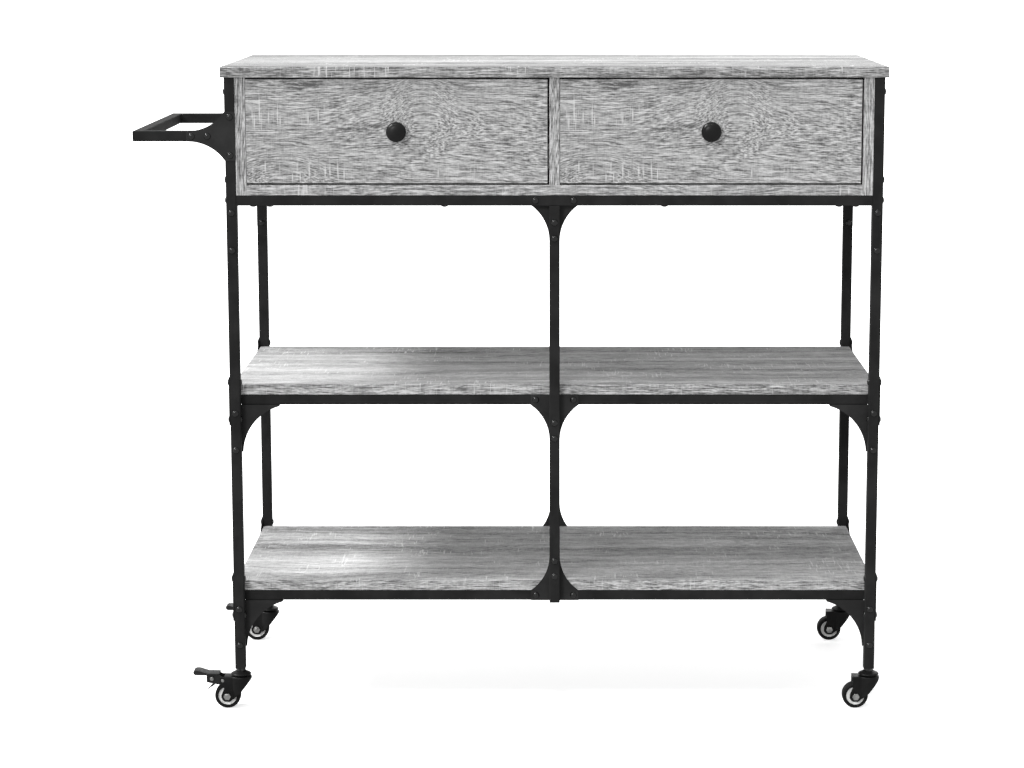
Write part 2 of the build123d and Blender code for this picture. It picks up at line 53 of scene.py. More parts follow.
# %% [markdown]
# ## The camera
# The picture was taken from the front, a little above the worktop, with a long lens. Upright edges in it
# stay upright, which a view camera does with a large shift. Here the camera tilts down instead and keeps
# only a small shift, so that the same camera also frames the cart when it is carried round to the sides.

# %% Camera
PICTURE_WIDTH = 1024
FOCAL_PIXELS = 2568.5
SENSOR_WIDTH = 36.0
CAMERA_PLACE = (0.0688, -3.8682, 1.1226)
LOOKS_DOWN = 8.878
camera_data = bpy.data.cameras.new("view_camera")
camera_data.sensor_width = SENSOR_WIDTH
camera_data.lens = FOCAL_PIXELS * SENSOR_WIDTH / PICTURE_WIDTH
camera_data.shift_x = -0.0463
camera_data.shift_y = -0.04
camera_data.clip_end = 100
camera = bpy.data.objects.new("view_camera", camera_data)
camera.location = CAMERA_PLACE
camera.rotation_euler = (math.radians(90 - LOOKS_DOWN), 0, 0)
bpy.context.scene.collection.objects.link(camera)
bpy.context.scene.camera = camera
print("lens", round(camera_data.lens, 1), "mm")

# %% [markdown]
# ## Small helpers for shader nodes
# A material is a little machine of nodes. The first helper places a node and fills in its sockets, by name
# or, as n0, n1 and n2, by number. The next ones do sums, ranges and mixes. The last two start a material
# with a Principled shader and read a point's place on the object.

# %% Node helpers


def put(tree, kind, settings=None, **sockets):
    made = tree.nodes.new("ShaderNode" + kind)
    for name, value in (settings or {}).items():
        setattr(made, name, value)
    for name, value in sockets.items():
        key = int(name[1:]) if name[0] == "n" and name[1:].isdigit() else name.replace("_", " ")
        if isinstance(value, bpy.types.NodeSocket):
            tree.links.new(value, made.inputs[key])
        else:
            made.inputs[key].default_value = value
    return made


def calc(tree, operation, first, second=0.0, third=0.0):
    made = put(tree, "Math", {"operation": operation}, n0=first, n1=second, n2=third)
    return made.outputs[0]


def between(tree, value, low, high, to_low=0.0, to_high=1.0):
    made = put(tree, "MapRange", {"interpolation_type": "SMOOTHSTEP"}, Value=value, From_Min=low,
               From_Max=high, To_Min=to_low, To_Max=to_high)
    return made.outputs[0]


def blend(tree, amount, first, second):
    return put(tree, "MixRGB", None, Fac=amount, Color1=first, Color2=second).outputs[0]


def grey(value):
    return (value, value, value, 1.0)


def new_material(name, **sockets):
    material = bpy.data.materials.new(name)
    material.use_nodes = True
    shader = material.node_tree.nodes["Principled BSDF"]
    for socket, value in sockets.items():
        shader.inputs[socket.replace("_", " ")].default_value = value
    return material, material.node_tree, shader


def place_of(tree):
    return tree.nodes.new("ShaderNodeTexCoord").outputs["Object"]


print("helpers ready")

# %% [markdown]
# ## The studio
# The cart stands on a white sweep. Light Path tells the floor who is looking. To the camera it is white and
# keeps the cart's shadow. To reflections it is white as well. To the light that bounces off it, it is only
# mid grey, so that it does not light the boards from below.

# %% Floor
bpy.context.scene.view_settings.view_transform = "Standard"
FLOOR_SIZE = 60
SEEN_WHITE, NEAR_GLOW, FAR_GLOW = 0.9, 0.6, 1.0
GLOW_FROM, GLOW_TO = 0.5, 2.2
MIRRORED_WHITE, MIRRORED_GLOW = 0.3, 0.5
BOUNCED_GREY = 0.42
floor_mesh = bpy.data.meshes.new("studio_floor")
sweep = bmesh.new()
bmesh.ops.create_grid(sweep, x_segments=1, y_segments=1, size=FLOOR_SIZE)
sweep.to_mesh(floor_mesh)
sweep.free()
floor = bpy.data.objects.new("studio_floor", floor_mesh)
bpy.context.scene.collection.objects.link(floor)
floor_paint, tree, shader = new_material("white_sweep", Roughness=0.9, Specular_IOR_Level=0.0)
ray = put(tree, "LightPath").outputs
mirrored = calc(tree, "MAXIMUM", ray["Is Glossy Ray"], ray["Is Transmission Ray"])
away = put(tree, "VectorMath", {"operation": "LENGTH"}, n0=place_of(tree)).outputs["Value"]
glow = between(tree, away, GLOW_FROM, GLOW_TO, NEAR_GLOW, FAR_GLOW)
bounce = blend(tree, mirrored, grey(BOUNCED_GREY), grey(MIRRORED_WHITE))
own_light = blend(tree, mirrored, grey(0.0), grey(MIRRORED_GLOW))
tree.links.new(blend(tree, ray["Is Camera Ray"], bounce, grey(SEEN_WHITE)), shader.inputs["Base Color"])
tree.links.new(blend(tree, ray["Is Camera Ray"], own_light, glow), shader.inputs["Emission Color"])
shader.inputs["Emission Strength"].default_value = 1.0
floor_mesh.materials.append(floor_paint)
print("floor corner", floor_mesh.vertices[0].co[:])

# %% [markdown]
# The air all round gives a soft, even light of its own. The camera and the reflections see it as white:
# white surroundings in every reflection are what makes black paint look like paint.

# %% Air
AIR_LIGHT = 0.46
world = bpy.data.worlds.new("studio_air")
bpy.context.scene.world = world
world.use_nodes = True
tree = world.node_tree
ray = put(tree, "LightPath").outputs
mirrored = calc(tree, "MAXIMUM", ray["Is Glossy Ray"], ray["Is Transmission Ray"])
seen = calc(tree, "MAXIMUM", ray["Is Camera Ray"], mirrored)
level = between(tree, seen, 0.0, 1.0, AIR_LIGHT, 1.0)
tree.links.new(level, tree.nodes["Background"].inputs["Strength"])
tree.nodes["Background"].inputs["Color"].default_value = grey(1.0)
print("air", AIR_LIGHT)

# %% [markdown]
# The lamps stand so far away that their light is even over the whole cart, so sun lamps with a wide disc
# play their part: the wider the disc, the softer the shadow's edge. The main one comes from the left,
# steeply enough to leave only the left ends of the shelves bright. A low front light shows the drawer
# fronts, a weak one behind reaches under the cabinet, and a small one above puts a glint on every bolt.
# Each last number is the light that arrives: a white card turned to the lamp shows that brightness.

# %% Lamps
LAMP_DISTANCE = 4


def far_lamp(name, azimuth, height, disc, arriving):
    a, h = math.radians(azimuth), math.radians(height)
    way = Vector((math.sin(a) * math.cos(h), -math.cos(a) * math.cos(h), math.sin(h)))
    lamp = bpy.data.lights.new(name, "SUN")
    lamp.angle = math.radians(disc)
    lamp.energy = arriving * math.pi
    stand = bpy.data.objects.new(name, lamp)
    stand.location = way * LAMP_DISTANCE
    stand.rotation_euler = way.to_track_quat("Z", "Y").to_euler()
    bpy.context.scene.collection.objects.link(stand)
    print(name, "arriving", arriving)


far_lamp("left_lamp", -86, 48.6, 18, 1.3)
far_lamp("front_lamp", -24, 22, 14, 0.35)
far_lamp("back_lamp", 165, 32, 30, 0.2)
far_lamp("top_lamp", -8, 64, 5, 0.13)

# %% [markdown]
# ## Printed grey oak
# The boards are chipboard under a printed, embossed paper: a grey oak with short fine pores, wavy figure
# and patches of pale saw marks across the grain. One node group draws it in metres, with the grain along X,
# and each board only turns and shifts it. All of it is noise, so three helpers come first: one stretches
# the place that noise is read at, one reads it, and one starts a node group.

# %% Noise helpers


def stretch(tree, vector, scale, place=(0, 0, 0), turn=(0, 0, 0)):
    made = put(tree, "Mapping", None, Vector=vector, Location=place, Rotation=turn, Scale=scale)
    return made.outputs["Vector"]


def spots(tree, vector, detail, roughness=0.5):
    made = put(tree, "TexNoise", None, Vector=vector, Scale=1.0, Detail=detail, Roughness=roughness)
    return made.outputs[0]


def new_group(name, inputs, outputs):
    group = bpy.data.node_groups.new(name, "ShaderNodeTree")
    for socket, kind, value in inputs:
        made = group.interface.new_socket(socket, in_out="INPUT", socket_type="NodeSocket" + kind)
        if value is not None:
            made.default_value = value
    for socket, kind in outputs:
        group.interface.new_socket(socket, in_out="OUTPUT", socket_type="NodeSocket" + kind)
    return group, group.nodes.new("NodeGroupInput"), group.nodes.new("NodeGroupOutput")


print("noise helpers ready")

# %% [markdown]
# Grain is never straight. A slow noise bends it by a centimetre or two, a quicker one curls it by a
# millimetre or two, most of all in patches, and a board can add bulges of its own. Everything that follows
# the grain is then read at the bent place.

# %% Bent grain
SLOW_BEND, CURL, PATCH_CURL = 0.048, 0.0015, 0.003
oak, inputs, outputs = new_group(
    "grey_oak",
    [("Vector", "Vector", None), ("Bulge", "Float", 0.0), ("Saw Marks", "Float", 0.0),
     ("Shade", "Float", 0.0), ("Bands", "Float", 0.2), ("Fine", "Float", 1.0), ("Cuts", "Float", 0.0)],
    [("Color", "Color"), ("Roughness", "Float"), ("Height", "Float")],
)
vector = inputs.outputs["Vector"]
slow_bend = calc(oak, "SUBTRACT", spots(oak, stretch(oak, vector, (3.2, 8, 8)), 1, 0.35), 0.5)
curl = calc(oak, "SUBTRACT", spots(oak, stretch(oak, vector, (20, 40, 40), (3, 1, 2)), 1), 0.5)
curl_patch = between(oak, spots(oak, stretch(oak, vector, (6, 11, 11), (7, 2, 5)), 1), 0.48, 0.7)
curl_height = calc(oak, "MULTIPLY", curl, calc(oak, "MULTIPLY_ADD", curl_patch, PATCH_CURL, CURL))
bend = calc(oak, "MULTIPLY_ADD", slow_bend, SLOW_BEND, curl_height)
bend = calc(oak, "ADD", bend, inputs.outputs["Bulge"])
across = put(oak, "CombineXYZ", None, Y=bend, Z=bend).outputs[0]
bent = put(oak, "VectorMath", {"operation": "ADD"}, n0=vector, n1=across).outputs[0]
print("the slow bend swings over", SLOW_BEND, "m")

# %% [markdown]
# The strokes are noise, long along the grain and thin across it. Fine and slow layers are piled up apart,
# so that a board can ask for more of one kind. Their sum is a tone, and a ramp turns the tone into greys.

# %% Strokes
TONE_LOW, TONE_HIGH = 0.1, 0.9
OAK_DARK, OAK_MIDDLE, OAK_PALE = grey(0.124), grey(0.388), grey(0.695)
lines = spots(oak, stretch(oak, bent, (22, 500, 500)), 1, 0.6)
hairs = spots(oak, stretch(oak, bent, (36, 760, 760), (8, 3, 4)), 1, 0.5)
pores = spots(oak, stretch(oak, bent, (170, 800, 800), (4, 9, 2)), 1, 0.5)
weave = spots(oak, stretch(oak, vector, (640, 70, 70), (5, 5, 5)), 1, 0.5)
bands = spots(oak, stretch(oak, bent, (2.2, 60, 60), (1, 5, 8)), 2, 0.5)
broad = spots(oak, stretch(oak, bent, (0.9, 17, 17), (3, 7, 4)), 2, 0.5)


def pile(layers):
    total = 0.0
    for layer, amount in layers:
        total = calc(oak, "MULTIPLY_ADD", calc(oak, "SUBTRACT", layer, 0.5), amount, total)
    return total


fine = pile(((lines, 0.85), (hairs, 1.6), (pores, 0.9), (weave, 0.3)))
slow = pile(((bands, 0.8), (broad, 1.0)))
tone = calc(oak, "SUBTRACT", 0.5, inputs.outputs["Shade"])
tone = calc(oak, "MULTIPLY_ADD", fine, inputs.outputs["Fine"], tone)
tone = calc(oak, "MULTIPLY_ADD", slow, inputs.outputs["Bands"], tone)
ramp = put(oak, "ValToRGB", None, Fac=tone)
dark_end, pale_end = ramp.color_ramp.elements
dark_end.position, dark_end.color = TONE_LOW, OAK_DARK
pale_end.position, pale_end.color = TONE_HIGH, OAK_PALE
ramp.color_ramp.elements.new(0.5).color = OAK_MIDDLE
print("tones from", OAK_DARK[0], "to", OAK_PALE[0])

# %% [markdown]
# Over the tone lie a few strong dark and pale lines. The saw marks are thin noise across the grain with
# some along it; a mask says where they show, and single cuts can be added. Dark lines are also dents in the
# paper.

# %% Lines and saw marks
DARK_LINE, PALE_LINE, SAW_PALE = grey(0.159), grey(0.655), grey(0.775)
DARK_AMOUNT, PALE_AMOUNT, CROSS_AMOUNT, SAW_AMOUNT = 0.6, 0.35, 0.75, 0.75
ROUGH_DARK, ROUGH_PALE = 0.8, 0.64
LINE_DENT = 0.4
streaks = spots(oak, stretch(oak, bent, (15, 430, 430), (2, 6, 1)), 1, 0.5)
dark_line = calc(oak, "MULTIPLY", between(oak, streaks, 0.6, 0.72), inputs.outputs["Fine"])
pale_line = between(oak, streaks, 0.38, 0.27, 0.0, PALE_AMOUNT)
pale_line = calc(oak, "MULTIPLY", pale_line, inputs.outputs["Fine"])
color = blend(oak, pale_line, ramp.outputs[0], PALE_LINE)
color = blend(oak, calc(oak, "MULTIPLY", dark_line, DARK_AMOUNT), color, DARK_LINE)
saw_line = between(oak, spots(oak, stretch(oak, vector, (330, 26, 26), (9, 3, 7)), 1), 0.6, 0.7)
saw_cross = between(oak, spots(oak, stretch(oak, vector, (30, 430, 430), (8, 1, 6)), 1), 0.57, 0.68)
saw = calc(oak, "MAXIMUM", saw_line, calc(oak, "MULTIPLY", saw_cross, CROSS_AMOUNT))
saw = calc(oak, "MULTIPLY", saw, inputs.outputs["Saw Marks"])
saw = calc(oak, "MAXIMUM", saw, inputs.outputs["Cuts"])
color = blend(oak, calc(oak, "MULTIPLY", saw, SAW_AMOUNT), color, SAW_PALE)
rough = between(oak, tone, TONE_LOW, TONE_HIGH, ROUGH_DARK, ROUGH_PALE)
relief = calc(oak, "SUBTRACT", tone, calc(oak, "MULTIPLY", dark_line, LINE_DENT))
oak.links.new(color, outputs.inputs["Color"])
oak.links.new(rough, outputs.inputs["Roughness"])
oak.links.new(relief, outputs.inputs["Height"])
print("oak nodes", len(oak.nodes))

# %% [markdown]
# ## Oak on the boards
# Each board's material shifts the print, turns it where the grain runs upright, and says with round masks
# where saw marks, cuts, bulges and dark shades lie. A mask is one at its middle and fades to nothing at its
# reach.

# %% Board helpers
ALONG_X = (0, 0, 0)
UPRIGHT = (0, math.radians(90), 0)
PAPER_SHINE = 0.03
PAPER_BUMP, PAPER_DEPTH = 0.25, 0.0004


def add_group(tree, group, **sockets):
    return put(tree, "Group", {"node_tree": group}, **sockets)


def bumpy(tree, shader, height, strength, distance):
    bump = put(tree, "Bump", None, Strength=strength, Distance=distance, Height=height)
    tree.links.new(bump.outputs[0], shader.inputs["Normal"])


def paint(material, *names):
    for name in names:
        nodes[name].data.materials.clear()
        nodes[name].data.materials.append(material)


def patch(tree, vector, middle, reach):
    away = put(tree, "VectorMath", {"operation": "SUBTRACT"}, n0=vector, n1=middle).outputs[0]
    away = put(tree, "VectorMath", {"operation": "DIVIDE"}, n0=away, n1=reach).outputs[0]
    length = put(tree, "VectorMath", {"operation": "LENGTH"}, n0=away).outputs["Value"]
    return between(tree, length, 1.0, 0.1)


def sum_of_patches(tree, vector, patches, start=0.0):
    total = start
    for middle, reach, amount in patches:
        total = calc(tree, "MULTIPLY_ADD", patch(tree, vector, middle, reach), amount, total)
    return total


def finish_oak(material, tree, shader, wood):
    tree.links.new(wood.outputs["Color"], shader.inputs["Base Color"])
    tree.links.new(wood.outputs["Roughness"], shader.inputs["Roughness"])
    bumpy(tree, shader, wood.outputs["Height"], PAPER_BUMP, PAPER_DEPTH)
    return material


def oak_board(name, shift, turn=ALONG_X, marks=(), cuts=(), bulges=(), shades=(), loose_marks=0.0):
    material, tree, shader = new_material(name, Specular_IOR_Level=PAPER_SHINE)
    vector = stretch(tree, place_of(tree), (1, 1, 1), shift, turn)
    loose = spots(tree, stretch(tree, vector, (9, 14, 14), (3, 8, 1)), 1)
    mask = between(tree, loose, 0.52, 0.68, 0.0, loose_marks)
    wood = add_group(tree, oak, Vector=vector, Saw_Marks=sum_of_patches(tree, vector, marks, mask),
                     Bulge=sum_of_patches(tree, vector, bulges),
                     Shade=sum_of_patches(tree, vector, shades),
                     Cuts=sum_of_patches(tree, vector, cuts))
    return finish_oak(material, tree, shader, wood)


print("board helpers ready")

# %% [markdown]
# The print repeats: both drawer fronts show the same saw marks at the upper left and the same curl beside
# the knob. So both take the same masks, measured from their own lower left corner. Every mask gives its
# middle, its reach and its amount; the single cuts give place, height and half length in millimetres.

# %% Drawer fronts
CUT_HALF_WIDTH = 1.5
front_marks = (
    ((0.030, 0.0, 0.094), (0.055, 0.5, 0.045), 0.8),
    ((0.095, 0.0, 0.096), (0.045, 0.5, 0.03), 0.7),
    ((0.095, 0.0, 0.014), (0.10, 0.5, 0.03), 0.7),
    ((0.30, 0.0, 0.012), (0.07, 0.5, 0.025), 0.4),
)
single_cuts = (
    (12.5, 88, 18), (20, 106, 30), (46, 98, 26), (49.5, 90, 13), (33, 95, 14), (90, 17, 18), (113, 18, 16),
    (131, 18, 19), (140, 13, 14), (27, 24, 12), (66, 8, 10), (77, 9, 12), (275, 15, 10), (104, 98, 15),
)
front_bulges = (
    ((0.250, 0.0, 0.105), (0.200, 0.5, 0.080), -0.012),
    ((0.250, 0.0, 0.105), (0.060, 0.5, 0.080), -0.015),
    ((0.300, 0.0, 0.088), (0.050, 0.5, 0.035), -0.006),
    ((0.050, 0.0, 0.010), (0.085, 0.5, 0.065), -0.014),
)
front_shades = (
    ((0.145, 0.0, 0.077), (0.042, 0.5, 0.0065), 0.22),
    ((0.178, 0.0, 0.083), (0.036, 0.5, 0.006), 0.2),
    ((0.078, 0.0, 0.140), (0.05, 0.5, 0.013), 0.16),
    ((0.170, 0.0, 0.137), (0.05, 0.5, 0.014), 0.1),
)
front_cuts = [((x * MM, 0.0, z * MM), (CUT_HALF_WIDTH * MM, 0.5, half * MM), 1.0)
              for x, z, half in single_cuts]
for hand in ("left", "right"):
    low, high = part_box(f"{hand}_drawer_front")
    front = oak_board(f"{hand}_front_oak", tuple(-low), marks=front_marks, cuts=front_cuts,
                      bulges=front_bulges, shades=front_shades)
    paint(front, f"{hand}_drawer_front")
print("saw mark patches", len(front_marks), "single cuts", len(front_cuts))

# %% [markdown]
# The worktop and the shelves show both their top and their edges. The material finds the edges by their
# distance from the board's box: there the strokes are stronger, and on the two ends the grain turns along
# them. The rear of each top fades into a darker, wavy band. The worktop and the bottom shelf also take
# painted shade: their whole top is a little darker, in place of less light falling on it.

# %% Worktop and shelves
EDGE_FROM, EDGE_TO = 0.0004, 0.0008
EDGE_FINE, TOP_FINE = 1.0, 0.6
EDGE_BANDS, TOP_BANDS = 0.6, 0.8
TOP_MARKS = 0.7
REAR_SHADE, REAR_FROM, REAR_TO, REAR_WAVE = 0.15, 0.005, 0.02, 0.09


def rim_distance(tree, place, low, high):
    return calc(tree, "MINIMUM", calc(tree, "SUBTRACT", place, low), calc(tree, "SUBTRACT", high, place))


def oak_slab(name, shift, low, high, edge_marks, painted_top_shade):
    material, tree, shader = new_material(name, Specular_IOR_Level=PAPER_SHINE)
    place = put(tree, "SeparateXYZ", None, Vector=place_of(tree)).outputs
    ends = rim_distance(tree, place["X"], low.x, high.x)
    sides = rim_distance(tree, place["Y"], low.y, high.y)
    at_end = between(tree, ends, EDGE_FROM, EDGE_TO, 1.0, 0.0)
    flat = between(tree, sides, EDGE_FROM, EDGE_TO)
    flat = calc(tree, "MULTIPLY", flat, calc(tree, "SUBTRACT", 1.0, at_end))
    turned = put(tree, "CombineXYZ", None, X=place["Y"], Y=place["X"], Z=place["Z"]).outputs[0]
    vector = stretch(tree, blend(tree, at_end, place_of(tree), turned), (1, 1, 1), shift)
    loose = between(tree, spots(tree, stretch(tree, vector, (11, 14, 14), (3, 8, 1)), 1), 0.48, 0.64)
    mask = calc(tree, "MULTIPLY", loose, between(tree, flat, 0.0, 1.0, edge_marks, TOP_MARKS))
    wave = spots(tree, stretch(tree, vector, (5, 9, 9), (6, 4, 2)), 2)
    rear = calc(tree, "MULTIPLY_ADD", wave, -REAR_WAVE, calc(tree, "SUBTRACT", high.y, place["Y"]))
    # Beyond the rear band the whole top takes the slab's painted shade, a darker tone in place of less light.
    shade = calc(tree, "MULTIPLY", between(tree, rear, REAR_FROM, REAR_TO, REAR_SHADE, painted_top_shade), flat)
    wood = add_group(tree, oak, Vector=vector, Saw_Marks=mask, Shade=shade,
                     Fine=between(tree, flat, 0.0, 1.0, EDGE_FINE, TOP_FINE),
                     Bands=between(tree, flat, 0.0, 1.0, EDGE_BANDS, TOP_BANDS))
    return finish_oak(material, tree, shader, wood)


# Each slab gives the print's shift, the saw marks on its edges, and its painted shade: the last number
# darkens the whole top.
slabs = {
    "worktop": ((0.3, 0.1, 0.2), 0.9, 0.05),
    "middle_shelf": ((0.9, 0.4, 0.1), 1.0, 0.0),
    "bottom_shelf": ((5.2, 1.9, 0.6), 0.9, 0.035),
}
for name, (shift, edge_marks, painted_top_shade) in slabs.items():
    paint(oak_slab(f"{name}_oak", shift, *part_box(name), edge_marks, painted_top_shade), name)
print("slabs", *slabs)

# %% [markdown]
# From the front the cabinet's own boards show little more than an edge. The floor and the back have their
# grain along the cart; the sides and the divider have it upright.

# %% Cabinet boards
cabinet_boards = {
    "cabinet_floor": ((2.3, 0.2, 0.9), ALONG_X, 0.9),
    "cabinet_back": ((2.9, 0.6, 0.3), ALONG_X, 0.4),
    "cabinet_left_side": ((0.4, 0.3, 3.1), UPRIGHT, 0.3),
    "cabinet_right_side": ((1.4, 0.7, 3.8), UPRIGHT, 0.3),
    "cabinet_divider": ((2.4, 0.9, 4.4), UPRIGHT, 0.3),
}
for name, (shift, turn, loose_marks) in cabinet_boards.items():
    paint(oak_board(f"{name}_oak", shift, turn, loose_marks=loose_marks), name)
print("cabinet boards", len(cabinet_boards))

# %% [markdown]
# ## Drawer boxes
# The hidden drawer boards are covered with a plain pale paper: hardly any figure, a little fibre.

# %% Drawer boxes
drawer_paper, tree, shader = new_material("drawer_paper", Roughness=0.6, Specular_IOR_Level=0.3)
vector = place_of(tree)
fibre = spots(tree, stretch(tree, vector, (60, 420, 420)), 3, 0.6)
cloud = spots(tree, stretch(tree, vector, (9, 9, 9), (2, 2, 2)), 2)
mixed = calc(tree, "MULTIPLY_ADD", fibre, 0.6, calc(tree, "MULTIPLY", cloud, 0.4))
color = blend(tree, between(tree, mixed, 0.3, 0.7), (0.40, 0.39, 0.37, 1), (0.52, 0.51, 0.49, 1))
tree.links.new(color, shader.inputs["Base Color"])
tree.links.new(between(tree, fibre, 0.3, 0.7, 0.52, 0.66), shader.inputs["Roughness"])
bumpy(tree, shader, fibre, 0.15, 0.0003)
for hand in ("left", "right"):
    paint(drawer_paper, *[f"{hand}_drawer_{piece}" for piece in ("sides", "bottom", "back")])
print("drawer boxes painted")

# %% [markdown]
# ## Black powder coat
# Powder coat melts into a skin that is smooth from afar and finely rippled close by. One group gives the
# colour, the roughness and the ripple.

# %% Coat group
DUST = 0.3
coat, inputs, outputs = new_group(
    "powder_coat",
    [("Vector", "Vector", None), ("Ripple", "Float", 900.0), ("Dark", "Color", grey(0.006)),
     ("Light", "Color", grey(0.014)), ("Gloss", "Float", 0.4)],
    [("Color", "Color"), ("Roughness", "Float"), ("Height", "Float")],
)
vector = inputs.outputs["Vector"]
grain = put(coat, "TexNoise", None, Vector=vector, Scale=inputs.outputs["Ripple"], Detail=2.0)
cloud = spots(coat, stretch(coat, vector, (22, 22, 22)), 3, 0.6)
color = blend(coat, between(coat, cloud, 0.3, 0.7), inputs.outputs["Dark"], inputs.outputs["Light"])
dull = calc(coat, "MULTIPLY_ADD", calc(coat, "SUBTRACT", cloud, 0.5), DUST, inputs.outputs["Gloss"])
coat.links.new(color, outputs.inputs["Color"])
coat.links.new(dull, outputs.inputs["Roughness"])
coat.links.new(grain.outputs[0], outputs.inputs["Height"])
print("coat nodes", len(coat.nodes))

# %% [markdown]
# The tubes, plates, bolts, casters and tyres take the coat with their own values: how rough it is, how many
# ripples it has in a metre, its darkest and lightest grey, its shine and the depth of the ripples.

# %% Coats
RIPPLE_BUMP = 0.2


def coated(name, rough, ripple=900.0, dark=0.005, light=0.011, specular=0.08, depth=0.00012):
    material, tree, shader = new_material(name, Specular_IOR_Level=specular)
    skin = add_group(tree, coat, Vector=place_of(tree), Ripple=ripple, Dark=grey(dark), Light=grey(light),
                     Gloss=rough)
    tree.links.new(skin.outputs["Color"], shader.inputs["Base Color"])
    tree.links.new(skin.outputs["Roughness"], shader.inputs["Roughness"])
    bumpy(tree, shader, skin.outputs["Height"], RIPPLE_BUMP, depth)
    return material


frame_coat = coated("black_frame_coat", 0.58, dark=0.015, light=0.025, specular=0.05)
# The plates' coat is a lighter copy of the tubes' black: painted sheen, standing in for the plates' brighter
# look.
plate_coat_painted_sheen = coated("black_plate_coat", 0.55, dark=0.021, light=0.034, specular=0.07)
gloss_coat = coated("black_gloss_coat", 0.18, specular=0.32, depth=0.00004)
caster_coat = coated("black_caster_coat", 0.36, ripple=1400.0, dark=0.006, light=0.012, specular=0.09,
                     depth=0.00006)
rubber = coated("wheel_rubber", 0.62, ripple=2600.0, dark=0.004, light=0.011, specular=0.12)
plug_plastic = coated("black_plug_plastic", 0.5, ripple=1800.0)
tubes = [name for name in nodes if name.endswith(("_leg", "_rail", "_rails"))]
paint(frame_coat, *tubes, "centre_posts", "handle_bar")
paint(plate_coat_painted_sheen, "tee_gussets", "corner_gussets")
paint(plug_plastic, "leg_inserts")
print("coated tubes", len(tubes))

# %% [markdown]
# ## Zinc plate and pale plastic
# Axles, rivets and drawer runners are zinc plated: bright, slightly streaked by the plating bath. The
# wheels' hubs are a pale plastic with a fine speckle.

# %% Zinc and plastic
zinc, tree, shader = new_material("bright_zinc", Metallic=1.0)
vector = place_of(tree)
plating = spots(tree, stretch(tree, vector, (120, 120, 900)), 3, 0.6)
cloud = spots(tree, stretch(tree, vector, (70, 70, 70), (1, 2, 3)), 2)
color = blend(tree, between(tree, cloud, 0.3, 0.7), (0.17, 0.17, 0.167, 1), (0.32, 0.32, 0.313, 1))
tree.links.new(color, shader.inputs["Base Color"])
tree.links.new(between(tree, plating, 0.25, 0.75, 0.2, 0.38), shader.inputs["Roughness"])
bumpy(tree, shader, plating, 0.12, 0.0001)
paint(zinc, "cabinet_runners", "left_drawer_runners", "right_drawer_runners")

hub_plastic, tree, shader = new_material("pale_hub_plastic", Specular_IOR_Level=0.5)
vector = place_of(tree)
speckle = spots(tree, stretch(tree, vector, (900, 900, 900)), 2)
cloud = spots(tree, stretch(tree, vector, (120, 120, 120)), 2)
color = blend(tree, between(tree, cloud, 0.35, 0.65), (0.88, 0.88, 0.87, 1), (0.95, 0.95, 0.94, 1))
tree.links.new(color, shader.inputs["Base Color"])
tree.links.new(between(tree, speckle, 0.3, 0.7, 0.36, 0.48), shader.inputs["Roughness"])
bumpy(tree, shader, speckle, 0.1, 0.0001)
print("zinc and plastic ready")

# %% [markdown]
# ## Turning shapes and finishing pieces
# Knobs, domes, caps, tyres and hubs are all lathe work: an outline of a few points, spun about an axis and
# moved to its place. The last helper closes a piece: normals, smooth shading with sharp edges kept,
# material and body.

# %% Shape helpers
TINY = 1e-7
TO_THE_FRONT = (0, -1, 0)


def lathe(shape, outline, steps, place):
    before = set(shape.verts)
    points = [shape.verts.new((radius, 0, height)) for radius, height in outline]
    edges = [shape.edges.new(pair) for pair in zip(points, points[1:])]
    bmesh.ops.spin(shape, geom=points + edges, axis=(0, 0, 1), cent=(0, 0, 0), angle=math.tau, steps=steps,
                   use_merge=True)
    bmesh.ops.remove_doubles(shape, verts=[v for v in shape.verts if v not in before], dist=TINY)
    bmesh.ops.transform(shape, matrix=place, verts=[v for v in shape.verts if v not in before])


def facing(way, place):
    return Matrix.Translation(place) @ Vector(way).to_track_quat("Z", "Y").to_matrix().to_4x4()


def in_mm(outline):
    return [(radius * MM, height * MM) for radius, height in outline]


def finish_piece(shape, name, body, material, replaced=(), crease=38):
    bmesh.ops.recalc_face_normals(shape, faces=shape.faces)
    mesh = bpy.data.meshes.new(name)
    shape.to_mesh(mesh)
    shape.free()
    mesh.materials.append(material)
    mesh.shade_smooth()
    mesh.set_sharp_from_angle(angle=math.radians(crease))
    piece = bpy.data.objects.new(name, mesh)
    bpy.context.scene.collection.objects.link(piece)
    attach(piece, body)
    if replaced:
        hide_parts(*replaced)
    print(name, "faces", len(mesh.polygons))


print("shape helpers ready")

# %% [markdown]
# ## Dome-headed bolts
# The solids carry a six-sided head at every bolt, all in one mesh. Walking along the edges from any point
# gathers one head, and its box is kept.

# %% Bolt places
WELD = 1e-6
heads = bmesh.new()
heads.from_mesh(nodes["frame_fasteners"].data)
bmesh.ops.remove_doubles(heads, verts=heads.verts, dist=WELD)
left = set(heads.verts)
bolts = []
while left:
    island, reach = [], [left.pop()]
    while reach:
        vert = reach.pop()
        island.append(vert)
        for edge in vert.link_edges:
            other = edge.other_vert(vert)
            if other in left:
                left.remove(other)
                reach.append(other)
    low = Vector([min(v.co[k] for v in island) for k in range(3)])
    high = Vector([max(v.co[k] for v in island) for k in range(3)])
    bolts.append((low, high))
heads.free()
print("heads", len(bolts))

# %% [markdown]
# Each head says where a dome goes and which way it looks: its thin side is the bolt's axis, and outwards is
# away from the cart's middle. Bolts that go through a plate and a tube also show a dome nut on the far
# side; screws into a board do not.

